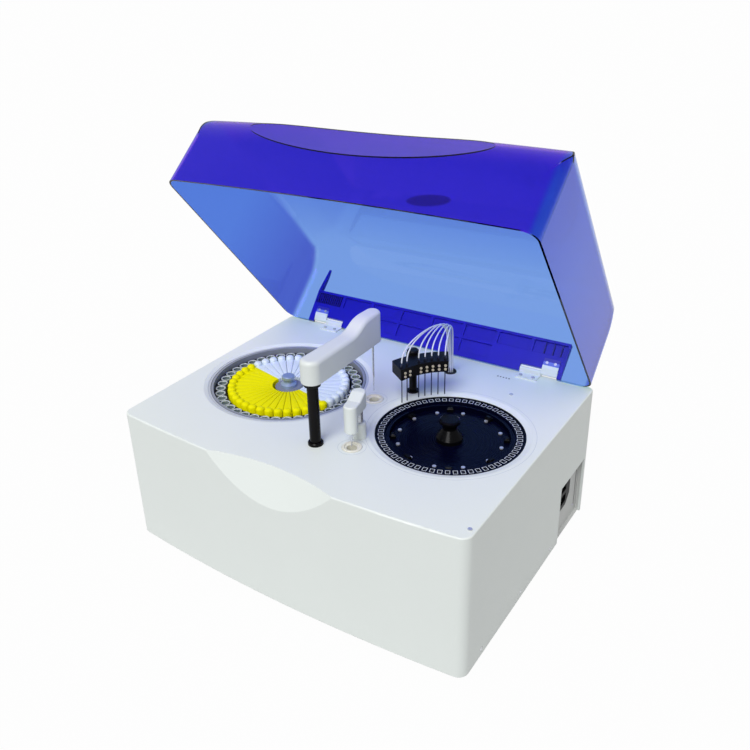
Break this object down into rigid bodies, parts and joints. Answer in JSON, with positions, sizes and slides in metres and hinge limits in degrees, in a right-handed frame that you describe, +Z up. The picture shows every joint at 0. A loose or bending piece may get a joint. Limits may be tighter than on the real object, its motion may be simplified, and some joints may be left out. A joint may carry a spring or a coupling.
{
  "type": "chemistry analyzer",
  "caption": "Bench-top clinical chemistry analyzer with an open blue lid, a reagent disc, a cuvette disc, two arms and a wash station.",
  "frame": {"origin": "on the bench, under the middle of the whole with its lid open", "axes": "+X to the right seen from the front, +Y to the back, +Z up"},
  "size_m": [0.69, 0.615, 0.7381],
  "materials": {
    "case_white": "satin",
    "lid_blue": "gloss",
    "strip_blue": "satin",
    "black_plastic": "satin",
    "black_gloss": "gloss",
    "yellow_plastic": "satin",
    "white_plastic": "satin",
    "clear_plastic": "clear",
    "grey_plastic": "satin",
    "cream_plastic": "satin",
    "painted_sheet": "satin",
    "bright_steel": "brushed",
    "aluminium": "satin",
    "brass": "satin",
    "rubber": "matte",
    "tube_clear": "translucent",
    "board_green": "satin"
  },
  "bodies": {
    "base": {"main_cover": "case_white", "bottom_pan": "painted_sheet", "rubber_feet": "rubber", "rear_panel": "painted_sheet", "inlet_panel": "painted_sheet", "power_inlet": "black_plastic", "reagent_well": "aluminium", "reagent_bearing": "brass", "reagent_motor": "black_plastic", "reaction_well": "grey_plastic", "reaction_bearing": "brass", "reaction_motor": "black_plastic", "probe_wash_well": "cream_plastic", "mixer_wash_well": "cream_plastic", "probe_flange": "black_plastic", "lift_rods": "bright_steel", "mixer_boss": "case_white", "wash_bush": "black_plastic", "tube_grommet": "rubber", "control_board": "board_green", "power_supply": "painted_sheet", "wash_pumps": "grey_plastic", "hinge_base_left": "white_plastic", "hinge_base_right": "white_plastic", "hinge_pins": "bright_steel", "case_screws": "bright_steel", "panel_screws": "bright_steel"},
    "reagent_tray": {"reagent_disc": "grey_plastic", "reagent_shaft": "bright_steel", "reagent_knob": "aluminium", "yellow_bottles": "yellow_plastic", "white_bottles": "white_plastic", "sample_cups": "clear_plastic"},
    "reaction_tray": {"reaction_rotor": "black_gloss", "cuvettes": "clear_plastic", "centre_plate": "black_gloss", "rotor_screws": "bright_steel", "rotor_knob": "black_gloss", "reaction_shaft": "bright_steel"},
    "probe_lift_body": {"probe_carriage": "aluminium"},
    "probe_arm_body": {"probe_column": "black_gloss", "probe_arm": "case_white", "probe_collar": "black_plastic", "probe_needle": "bright_steel"},
    "mixer_lift_body": {"mixer_carriage": "aluminium"},
    "mixer_arm_body": {"mixer_column": "bright_steel", "mixer_collar": "black_plastic", "mixer_arm": "case_white"},
    "mixer_paddle_body": {"mixer_paddle": "bright_steel"},
    "wash_head": {"wash_carriage": "aluminium", "wash_column": "black_plastic", "wash_block": "black_plastic", "wash_screws": "bright_steel", "wash_needles": "bright_steel", "wash_tubes": "tube_clear"},
    "lid": {"lid_shell": "lid_blue", "lid_strip": "strip_blue", "hinge_leaf_left": "aluminium", "hinge_leaf_right": "aluminium", "leaf_screws": "bright_steel"}
  },
  "joints": [
    {"name": "lid_hinge", "type": "hinge", "parent": "base", "child": "lid", "pos_m": [0, 0.21356, 0.278], "axis": [1, 0, 0], "range_deg": [0, 50]},
    {"name": "reagent_turn", "type": "hinge", "parent": "base", "child": "reagent_tray", "pos_m": [-0.1622, -0.03394, 0.2], "axis": [0, 0, 1], "continuous": true},
    {"name": "reaction_turn", "type": "hinge", "parent": "base", "child": "reaction_tray", "pos_m": [0.19, -0.04714, 0.22], "axis": [0, 0, 1], "continuous": true},
    {"name": "probe_lift", "type": "slide", "parent": "base", "child": "probe_lift_body", "axis": [0, 0, 1], "range_m": [-0.032, 0]},
    {"name": "probe_swing", "type": "hinge", "parent": "probe_lift_body", "child": "probe_arm_body", "pos_m": [0.0193, -0.19484, 0.27], "axis": [0, 0, 1], "range_deg": [-78.74, 25.59]},
    {"name": "mixer_lift", "type": "slide", "parent": "base", "child": "mixer_lift_body", "axis": [0, 0, 1], "range_m": [-0.025, 0]},
    {"name": "mixer_swing", "type": "hinge", "parent": "mixer_lift_body", "child": "mixer_arm_body", "pos_m": [0.07026, -0.13824, 0.27], "axis": [0, 0, 1], "range_deg": [0, 114.24]},
    {"name": "paddle_spin", "type": "hinge", "parent": "mixer_arm_body", "child": "mixer_paddle_body", "pos_m": [0.0767, -0.17264, 0.3], "axis": [0, 0, 1], "continuous": true},
    {"name": "wash_lift", "type": "slide", "parent": "base", "child": "wash_head", "axis": [0, 0, 1], "range_m": [-0.04, 0]}
  ]
}
